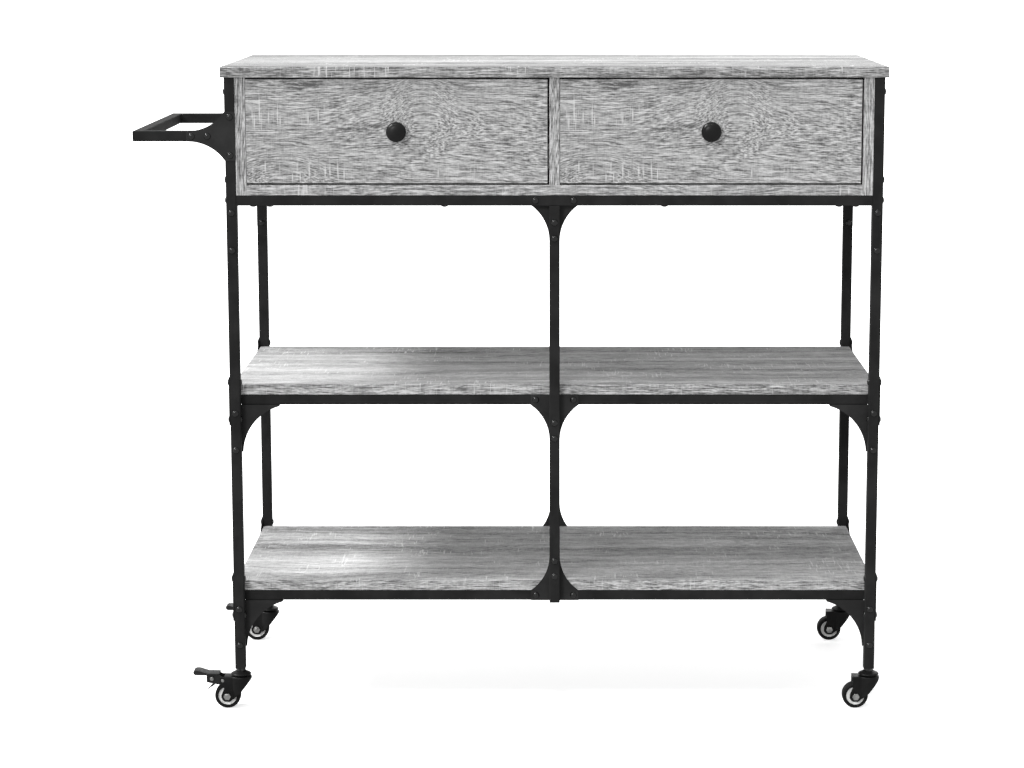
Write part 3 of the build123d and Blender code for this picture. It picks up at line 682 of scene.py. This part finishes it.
# %% Domes
BOLT_GRIP = 16.5
NEAR = 0.5
DOME_STEPS = 12
dome_outline = in_mm([(0, 0), (5.0, 0), (4.8, 0.9), (3.6, 1.85), (1.7, 2.3), (0, 2.4)])
domes = bmesh.new()
frame_middle = (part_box("bottom_shelf")[0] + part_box("bottom_shelf")[1]) / 2
leg_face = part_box("front_right_leg")[1].x - frame_middle.x
nuts = 0
for low, high in bolts:
    size, middle = high - low, (low + high) / 2
    thin = min(range(3), key=lambda k: size[k])
    way = Vector((0, 0, 0))
    way[thin] = -1.0 if thin == 2 or middle[thin] < frame_middle[thin] else 1.0
    seat = middle - way * size[thin] / 2
    lathe(domes, dome_outline, DOME_STEPS, facing(way, seat))
    screw = thin == 2 or (thin == 0 and abs(seat.x - frame_middle.x) < leg_face + NEAR * MM)
    if not screw:
        lathe(domes, dome_outline, DOME_STEPS, facing(-way, seat - way * BOLT_GRIP * MM))
        nuts += 1
finish_piece(domes, "dome_bolts", "cart", gloss_coat, ["frame_fasteners"], crease=60)
print("nuts", nuts)

# %% [markdown]
# ## Drawer knobs
# A turned knob: a foot on the board, a slim neck, a rim and a domed face.

# %% Knobs
KNOB_STEPS = 48
knob_outline = in_mm([
    (0, 0), (7.2, 0), (7.0, 1.2), (6.0, 2.6), (5.7, 5.0), (6.2, 7.4), (8.6, 9.4), (12.2, 10.9), (14.0, 12.4),
    (14.5, 14.2), (14.3, 16.0), (13.2, 18.3), (10.9, 20.2), (7.6, 21.4), (3.8, 21.9), (0, 22.0),
])
knob_coat = coated("black_knob_coat", 0.32, ripple=1200.0, specular=0.16)
for hand in ("left", "right"):
    low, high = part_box(f"{hand}_drawer_knob")
    foot = ((low.x + high.x) / 2, high.y, (low.z + high.z) / 2)
    knob = bmesh.new()
    lathe(knob, knob_outline, KNOB_STEPS, facing(TO_THE_FRONT, foot))
    finish_piece(knob, f"{hand}_knob", f"{hand}_drawer", knob_coat,
                 [f"{hand}_drawer_knob"], crease=50)

# %% [markdown]
# ## Casters: wheels
# Each wheel is a black tyre pressed on a white plastic hub, and both are turned. The tyre has round
# shoulders and a lip that covers the hub's rim; the hub has a sunk web and a boss round the axle. Both
# outlines are the same on both sides, so only one half is written. The stem of each caster stands ahead of
# its wheel's middle, and all later caster pieces are placed from it.

# %% Tyres and hubs
TRAIL = 19.5
TYRE_STEPS, HUB_STEPS = 64, 48


def both_sides(half):
    return in_mm(half + [(radius, -height) for radius, height in reversed(half)] + half[:1])


tyre_outline = both_sides([
    (14.7, -7.65), (13.5, -7.65), (13.5, -8.0), (14.6, -8.4), (17.2, -8.5), (18.2, -7.9), (18.8, -6.6),
    (19.0, -4.5),
])
hub_outline = both_sides([
    (3.1, -8.0), (5.5, -8.0), (6.0, -7.0), (7.0, -5.4), (12.2, -5.2), (13.0, -7.0), (13.6, -7.6),
    (14.5, -7.6), (14.6, -7.2),
])
stems = {}
for corner in ("front_left", "front_right", "rear_left", "rear_right"):
    low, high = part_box(f"{corner}_tyre")
    middle = (low + high) / 2
    stems[corner] = Vector((middle.x + TRAIL * MM, middle.y, 0))
    tyre, hub = bmesh.new(), bmesh.new()
    lathe(tyre, tyre_outline, TYRE_STEPS, facing(TO_THE_FRONT, middle))
    lathe(hub, hub_outline, HUB_STEPS, facing(TO_THE_FRONT, middle))
    wheel = f"{corner}_wheel"
    finish_piece(tyre, f"{corner}_round_tyre", wheel, rubber, [f"{corner}_tyre"], crease=50)
    finish_piece(hub, f"{corner}_white_hub", wheel, hub_plastic, [f"{corner}_hub"],
                 crease=30)

# %% [markdown]
# ## Casters: caps and stems
# A pressed cap covers the ball race above each yoke, and a hexagon nut locks the stem under the leg. A
# six-sided cone with bevelled edges makes every hexagon: where the metal meets the air its edge is soft,
# and that soft edge catches the light. The stems are a duller zinc.

# %% Caps and stems
dark_zinc, tree, shader = new_material("dull_zinc", Metallic=1.0)
cloud = spots(tree, stretch(tree, place_of(tree), (260, 260, 260)), 3)
color = blend(tree, between(tree, cloud, 0.3, 0.7), grey(0.015), grey(0.05))
tree.links.new(color, shader.inputs["Base Color"])
tree.links.new(between(tree, cloud, 0.3, 0.7, 0.3, 0.22), shader.inputs["Roughness"])
bumpy(tree, shader, cloud, 0.1, 0.0001)
HEX_TURN = Matrix.Rotation(math.radians(30), 4, "Z")


def hexagon(shape, radius, height, soft, place):
    lifted = place @ HEX_TURN @ Matrix.Translation((0, 0, height * MM / 2))
    made = bmesh.ops.create_cone(shape, cap_ends=True, cap_tris=False, segments=6, radius1=radius * MM,
                                 radius2=radius * MM, depth=height * MM, matrix=lifted)
    top = max(made["verts"], key=lambda v: (place.inverted() @ v.co).z)
    rim = [face for face in top.link_faces if len(face.verts) == 6]
    bmesh.ops.bevel(shape, geom=list(rim[0].edges), offset=soft * MM, offset_type="OFFSET", segments=2,
                    profile=0.5, affect="EDGES", material=-1)


RACE_TOP = 50.3
NUT_RADIUS, NUT_HEIGHT, NUT_SOFT = 7.0, 9.7, 0.8
CAP_STEPS, RACE_STEPS, FOOT_STEPS, ROD_STEPS = 48, 32, 24, 16
cap_outline = in_mm([
    (7.2, RACE_TOP), (14.2, RACE_TOP), (14.8, 50.6), (15.0, 51.2), (14.8, 51.9), (13.6, 52.8), (11.2, 53.9),
    (9.2, 54.9), (8.0, 55.6), (7.2, 55.8), (7.2, RACE_TOP),
])
race_outline = in_mm([
    (4.2, 48.8), (8.6, 48.8), (9.6, 49.2), (10.0, 49.6), (9.6, 50.0), (8.6, RACE_TOP), (4.2, RACE_TOP),
    (4.2, 48.8),
])
foot_outline = in_mm([(0, 43.0), (3.2, 43.1), (5.6, 43.7), (6.5, 44.8), (6.5, 46.4), (0, 46.4)])
rod_outline = in_mm([(0, 44), (4, 44), (4, 81.5), (3.4, 82), (0, 82)])
caps, posts = bmesh.new(), bmesh.new()
for stem in stems.values():
    stand = Matrix.Translation(stem)
    lathe(caps, cap_outline, CAP_STEPS, stand)
    hexagon(posts, NUT_RADIUS, NUT_HEIGHT, NUT_SOFT, stand @ Matrix.Translation((0, 0, RACE_TOP * MM)))
    lathe(posts, race_outline, RACE_STEPS, stand)
    lathe(posts, foot_outline, FOOT_STEPS, stand)
    lathe(posts, rod_outline, ROD_STEPS, stand)
finish_piece(caps, "domed_caps", "cart", caster_coat, ["bearing_caps"], crease=40)
finish_piece(posts, "stem_nuts", "cart", dark_zinc, ["caster_stems"], crease=30)

# %% [markdown]
# ## Casters: axles
# A bolt with a hexagon head on one side and a nut with its thread's end on the other carries each wheel.

# %% Axles
AXLE_HEIGHT, AXLE_RADIUS, AXLE_STEPS = 19.0, 3, 20
AXLE_SEAT = 11.5
HEX_RADIUS, HEX_SOFT = 5.6, 0.7
HEAD_HEIGHT, AXLE_NUT_HEIGHT = 4.2, 3.2
shaft_outline = in_mm([(0, -AXLE_SEAT), (AXLE_RADIUS, -AXLE_SEAT), (AXLE_RADIUS, AXLE_SEAT), (0, AXLE_SEAT)])
thread_outline = in_mm([(0, AXLE_NUT_HEIGHT), (AXLE_RADIUS, AXLE_NUT_HEIGHT), (AXLE_RADIUS, 4.0), (2.4, 4.5),
                        (0, 4.5)])
for corner, stem in stems.items():
    bolt = bmesh.new()
    middle = stem + Vector((-TRAIL, 0, AXLE_HEIGHT)) * MM
    for way in (-1, 1):
        seat = facing((0, way, 0), middle + Vector((0, way * AXLE_SEAT * MM, 0)))
        nut_side = (way < 0) == corner.endswith("left")
        hexagon(bolt, HEX_RADIUS, AXLE_NUT_HEIGHT if nut_side else HEAD_HEIGHT, HEX_SOFT, seat)
        if nut_side:
            lathe(bolt, thread_outline, AXLE_STEPS, seat)
    lathe(bolt, shaft_outline, AXLE_STEPS, facing(TO_THE_FRONT, middle))
    finish_piece(bolt, f"{corner}_axle_bolt", f"{corner}_fork", zinc, [f"{corner}_axle"],
                 crease=30)

# %% [markdown]
# ## Casters: pressed yokes
# A press bends each yoke out of one blank of sheet steel, and shears trim it. The shears come first: a
# plane cuts the sheet along every edge of an outline seen from the side, and the faces outside the outline
# go.

# %% Shears


def cut(shape, place, normal):
    everything = shape.verts[:] + shape.edges[:] + shape.faces[:]
    bmesh.ops.bisect_plane(shape, geom=everything, dist=TINY, plane_co=place, plane_no=normal)


def inside(x, z, outline):
    crossings = 0
    for (x0, z0), (x1, z1) in zip(outline, outline[1:] + outline[:1]):
        if (z0 > z) != (z1 > z):
            crossings += x < x0 + (z - z0) * (x1 - x0) / (z1 - z0)
    return crossings % 2 == 1


def trim(shape, outline):
    for (x0, z0), (x1, z1) in zip(outline, outline[1:] + outline[:1]):
        cut(shape, (x0 * MM, 0, z0 * MM), Vector((z1 - z0, 0, x0 - x1)).normalized())
    waste = []
    for face in shape.faces:
        middle = face.calc_center_median() / MM
        if not inside(middle.x, middle.z, outline):
            waste.append(face)
    bmesh.ops.delete(shape, geom=waste, context="FACES")


print("shears ready")

# %% [markdown]
# The yoke has a flat top under the cap, a round nose and two skirts that slant down to the axle. A capped
# circle becomes the top, its rear is pulled back, its rim is extruded downwards, and the bend is a bevel.
# After the trim, solidify gives the sheet its thickness. A yoke with a brake has a slot at its rear, which
# leaves an ear on each side.

# %% Pressing a yoke
NOSE_RADIUS, NOSE_STEPS = 15.99, 48
YOKE_TOP, SKIRT_DROP = 48.5, 38
YOKE_WAIST, YOKE_HALF_WIDTH, YOKE_SPREAD = 11.5, 11.4, 1.3
BEND_OFFSET, SHEET = 2.2, 1.8
SLOT_HALF_WIDTH = 9
BOSS_RADIUS = 9.0
boss_turns = [math.radians(degrees) for degrees in range(172, 313, 10)]
boss_arc = [(-TRAIL + BOSS_RADIUS * math.cos(a), AXLE_HEIGHT + BOSS_RADIUS * math.sin(a)) for a in boss_turns]
skirt_front = [(-0.5, 24.0), (16.5, 45.1), (16.5, 49.0)]


def pressed_yoke(reach, rear_edge, slot_from):
    shape = bmesh.new()
    made = bmesh.ops.create_circle(shape, cap_ends=True, segments=NOSE_STEPS, radius=NOSE_RADIUS * MM,
                                   matrix=Matrix.Translation((0, 0, YOKE_TOP * MM)))
    half = YOKE_HALF_WIDTH * MM
    for vert in made["verts"]:
        if vert.co.x < -YOKE_WAIST * MM:
            vert.co.x = -reach * MM
            vert.co.y = max(-half, min(half, vert.co.y * YOKE_SPREAD))
    skirt = bmesh.ops.extrude_edge_only(shape, edges=shape.edges[:])["geom"]
    hem = [part for part in skirt if isinstance(part, bmesh.types.BMVert)]
    bmesh.ops.translate(shape, verts=hem, vec=(0, 0, -SKIRT_DROP * MM))
    rear = [f for f in shape.faces if f.calc_center_median().x < (NEAR - reach) * MM]
    bmesh.ops.delete(shape, geom=rear, context="FACES")
    rim = [e for e in shape.edges if len(e.link_faces) == 2
           and all(v.co.z > (YOKE_TOP - NEAR) * MM for v in e.verts)]
    bmesh.ops.bevel(shape, geom=rim, offset=BEND_OFFSET * MM, offset_type="OFFSET", segments=4, profile=0.5,
                    affect="EDGES", material=-1)
    trim(shape, rear_edge + boss_arc + skirt_front)
    if slot_from is not None:
        cut(shape, (slot_from * MM, 0, 0), (1, 0, 0))
        slot = [f for f in shape.faces if f.calc_center_median().x < slot_from * MM
                and abs(f.calc_center_median().y) < SLOT_HALF_WIDTH * MM]
        bmesh.ops.delete(shape, geom=slot, context="FACES")
    bmesh.ops.remove_doubles(shape, verts=shape.verts, dist=WELD)
    bmesh.ops.recalc_face_normals(shape, faces=shape.faces)
    bmesh.ops.solidify(shape, geom=shape.faces[:], thickness=SHEET * MM)
    return shape


print("boss points", len(boss_arc))

# %% [markdown]
# The two casters under the handle have a brake, so their yokes reach further back.

# %% Yokes
PLAIN_REACH, BRAKED_REACH, SLOT_FROM = 28.0, 30.0, -24.0
plain_rear = [(-24.0, 49.0), (-24.0, 31.0)]
braked_rear = [(-30.0, 49.0), (-30.0, 39.0), (-24.0, 31.0)]
for corner, stem in stems.items():
    if corner.endswith("left"):
        yoke = pressed_yoke(BRAKED_REACH, braked_rear, SLOT_FROM)
    else:
        yoke = pressed_yoke(PLAIN_REACH, plain_rear, None)
    bmesh.ops.translate(yoke, verts=yoke.verts, vec=stem)
    finish_piece(yoke, f"{corner}_pressed_yoke", f"{corner}_fork", caster_coat,
                 [f"{corner}_yoke"], crease=30)

# %% [markdown]
# ## Casters: brake pedals
# The brake is a foot pedal with a thick, rounded toe. Two flanges under it turn on rivets between the
# yoke's ears and carry a shoe over the tyre, and a nut and the tail of a spring show on the near side. The
# outlines are drawn from the side as a few points and extruded across.

# %% Pedal outlines
pedal_side = [
    (-31, 50.5), (-31, 53.2), (-48, 53.5), (-54, 55.2), (-61, 57.6), (-66, 58), (-69, 57), (-70, 54.4),
    (-69.2, 51.6), (-66.5, 50.5),
]
flange_side = [
    (-50, 50.5), (-50, 40.4), (-47, 39.4), (-36, 37.2), (-34, 36.6), (-30.5, 36.6), (-27, 39.8), (-24, 40.3),
    (-22.6, 42), (-22.6, 44.4), (-24.2, 46.2), (-31, 50.5),
]
shoe_side = [(-34, 36.7), (-34, 40), (-30.5, 40), (-30.5, 36.7)]
tail_outline = in_mm([(0, 0), (1.6, 0), (1.6, 6.5), (0.9, 7.5), (0.8, 13), (0, 13.4)])


def side_plate(shape, outline, near, far):
    points = [shape.verts.new((x * MM, near * MM, z * MM)) for x, z in outline]
    made = bmesh.ops.extrude_face_region(shape, geom=[shape.faces.new(points)])["geom"]
    moved = [part for part in made if isinstance(part, bmesh.types.BMVert)]
    bmesh.ops.translate(shape, verts=moved, vec=(0, (far - near) * MM, 0))
    return points + moved


print("pedal points", len(pedal_side), "flange points", len(flange_side))

# %% [markdown]
# The toe is narrowed at its end and all its sharp edges are bevelled round. Then the flanges, the shoe and
# the spring's tail are added, and the whole is carried to its caster.

# %% Pedal
PEDAL_HALF_WIDTH = 11
FLANGE_IN, FLANGE_OUT = 7.8, 9.3
TOE_TIP, TOE_TIP_WIDTH = -68, 0.78
TOE_START, TOE_START_WIDTH = -65, 0.93
SHARP_EDGE, TOE_ROUND = 0.9, 1.1
TAIL_PLACE, TAIL_WAY, TAIL_STEPS = (-38.5, -5, 37.5), (-0.76, 0, -0.65), 12


def foot_pedal(stem):
    shape = bmesh.new()
    for vert in side_plate(shape, pedal_side, -PEDAL_HALF_WIDTH, PEDAL_HALF_WIDTH):
        if vert.co.x < TOE_TIP * MM:
            vert.co.y *= TOE_TIP_WIDTH
        elif vert.co.x < TOE_START * MM:
            vert.co.y *= TOE_START_WIDTH
    sharp = [e for e in shape.edges if len(e.link_faces) == 2 and e.calc_face_angle() > SHARP_EDGE]
    bmesh.ops.bevel(shape, geom=sharp, offset=TOE_ROUND * MM, offset_type="OFFSET", segments=3, profile=0.5,
                    affect="EDGES", material=-1)
    side_plate(shape, flange_side, -FLANGE_OUT, -FLANGE_IN)
    side_plate(shape, flange_side, FLANGE_IN, FLANGE_OUT)
    side_plate(shape, shoe_side, -FLANGE_IN, FLANGE_IN)
    lathe(shape, tail_outline, TAIL_STEPS, facing(TAIL_WAY, Vector(TAIL_PLACE) * MM))
    bmesh.ops.translate(shape, verts=shape.verts, vec=stem)
    return shape


print("pedal width", 2 * PEDAL_HALF_WIDTH, "mm")

# %% [markdown]
# A rivet on each side is the pedal's pivot, and one small nut with a thread's end sits on the near flange.
# Only the two casters under the handle get a brake.

# %% Brakes
PIVOT_X, PIVOT_Z = -26.0, 43.0
SMALL_NUT_PLACE = (-42.0, -FLANGE_OUT, 45.5)
SMALL_NUT_RADIUS, SMALL_NUT_HEIGHT, SMALL_NUT_SOFT = 3.1, 2.2, 0.4
RIVET_STEPS, THREAD_STEPS = 20, 12
rivet_head = in_mm([(0, 0), (2.5, 0), (2.5, 2.2), (2.3, 2.9), (1.5, 3.2), (0, 3.2)])
small_thread = in_mm([(0, SMALL_NUT_HEIGHT), (1.4, SMALL_NUT_HEIGHT), (1.3, 2.9), (0, 3.0)])


def brake_rivets(stem):
    shape = bmesh.new()
    for way in (-1, 1):
        pivot = stem + Vector((PIVOT_X, way * FLANGE_OUT, PIVOT_Z)) * MM
        lathe(shape, rivet_head, RIVET_STEPS, facing((0, way, 0), pivot))
    seat = facing(TO_THE_FRONT, stem + Vector(SMALL_NUT_PLACE) * MM)
    hexagon(shape, SMALL_NUT_RADIUS, SMALL_NUT_HEIGHT, SMALL_NUT_SOFT, seat)
    lathe(shape, small_thread, THREAD_STEPS, seat)
    return shape


pedal_coat = coated("black_pedal_coat", 0.42, ripple=700.0, dark=0.012, light=0.022, specular=0.14)
for corner in ("front_left", "rear_left"):
    stem, brake = stems[corner], f"{corner}_brake"
    finish_piece(foot_pedal(stem), f"{corner}_foot_pedal", brake, pedal_coat,
                 [f"{corner}_brake_pedal"], crease=35)
    finish_piece(brake_rivets(stem), f"{corner}_brake_rivets", brake, zinc, crease=35)
